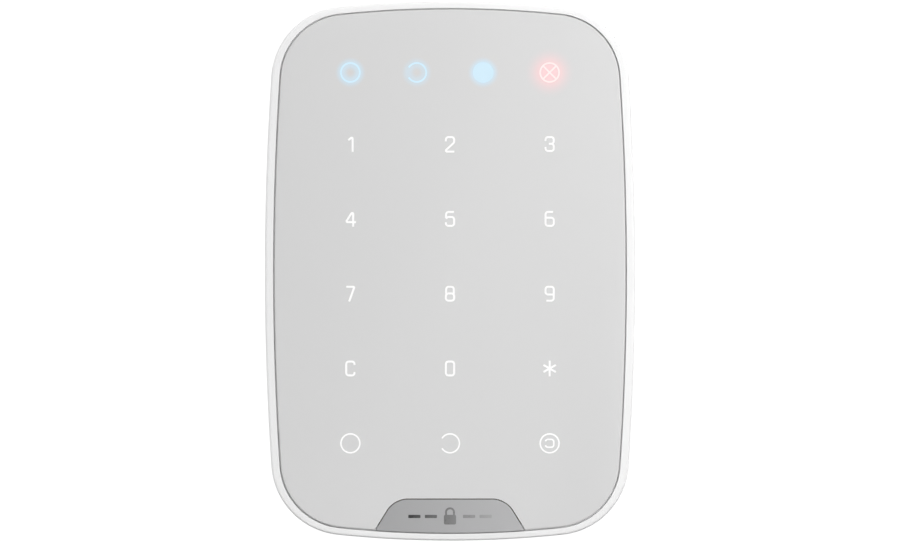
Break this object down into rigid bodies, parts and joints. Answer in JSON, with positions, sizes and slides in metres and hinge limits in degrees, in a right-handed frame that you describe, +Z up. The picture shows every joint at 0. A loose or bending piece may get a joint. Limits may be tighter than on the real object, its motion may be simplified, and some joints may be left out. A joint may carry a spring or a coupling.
{
  "type": "wall-mounted alarm keypad",
  "caption": "Slim wall-mounted alarm keypad: a white case with a backlit touch panel that slides onto a screwed-on wall bracket.",
  "frame": {"origin": "on the wall plane, level with the middle of the case's height and width; the wall plane touches the bracket's screw pads", "axes": "+Z up, +Y into the wall, +X to the right of someone facing the keypad"},
  "size_m": [0.103, 0.0145, 0.15],
  "materials": {
    "white_plastic": "fine satin moulding",
    "panel_grey": "smooth satin sheet",
    "nameplate_grey": "smooth satin",
    "clear_acrylic": "clear, polished",
    "sensor_polyester": "thin printed film",
    "board_green": "solder mask",
    "frame_plastic": "as moulded",
    "cell_jacket": "printed metal jacket",
    "spring_nickel": "nickel plated",
    "screw_steel": "dark plated",
    "shield_tin": "tinned sheet",
    "black_plastic": "moulded",
    "led_resin": "moulded resin"
  },
  "bodies": {
    "bracket": {"wall_bracket": "white_plastic"},
    "keypad": {"front_housing": "white_plastic", "rear_cover": "white_plastic", "touch_panel": "panel_grey", "nameplate": "nameplate_grey", "light_guide": "clear_acrylic", "touch_sensor_film": "sensor_polyester", "main_board": "board_green", "switch_board": "board_green", "battery_frame": "frame_plastic", "battery_cell_1": "cell_jacket", "battery_cell_2": "cell_jacket", "battery_cell_3": "cell_jacket", "battery_cell_4": "cell_jacket", "battery_spring_1": "spring_nickel", "battery_spring_2": "spring_nickel", "battery_spring_3": "spring_nickel", "battery_spring_4": "spring_nickel", "contact_plate_1": "spring_nickel", "contact_plate_2": "spring_nickel", "contact_plate_3": "spring_nickel", "contact_plate_4": "spring_nickel", "contact_plate_5": "spring_nickel", "antenna": "spring_nickel", "tamper_spring": "spring_nickel", "case_screw_1": "screw_steel", "case_screw_2": "screw_steel", "case_screw_3": "screw_steel", "case_screw_4": "screw_steel", "radio_module": "shield_tin", "capacitor": "shield_tin", "power_switch_case": "shield_tin", "controller_chip": "black_plastic", "touch_chip": "black_plastic", "buzzer": "black_plastic", "board_header": "black_plastic", "tamper_switch": "black_plastic", "indicator_led_1": "led_resin", "indicator_led_2": "led_resin", "indicator_led_3": "led_resin", "indicator_led_4": "led_resin", "film_connector": "led_resin"},
    "tamper": {"tamper_plunger": "white_plastic"},
    "power_switch": {"power_switch_knob": "black_plastic"}
  },
  "joints": [
    {"name": "keypad_slide", "type": "slide", "parent": "bracket", "child": "keypad", "axis": [0, 0, 1], "range_m": [0, 0.005]},
    {"name": "tamper_press", "type": "slide", "parent": "keypad", "child": "tamper", "axis": [0, -1, 0], "range_m": [0, 0.001], "stiffness_N_per_m": 150, "springref_m": -0.001},
    {"name": "power_switch_slide", "type": "slide", "parent": "keypad", "child": "power_switch", "axis": [-1, 0, 0], "range_m": [0, 0.004]}
  ]
}
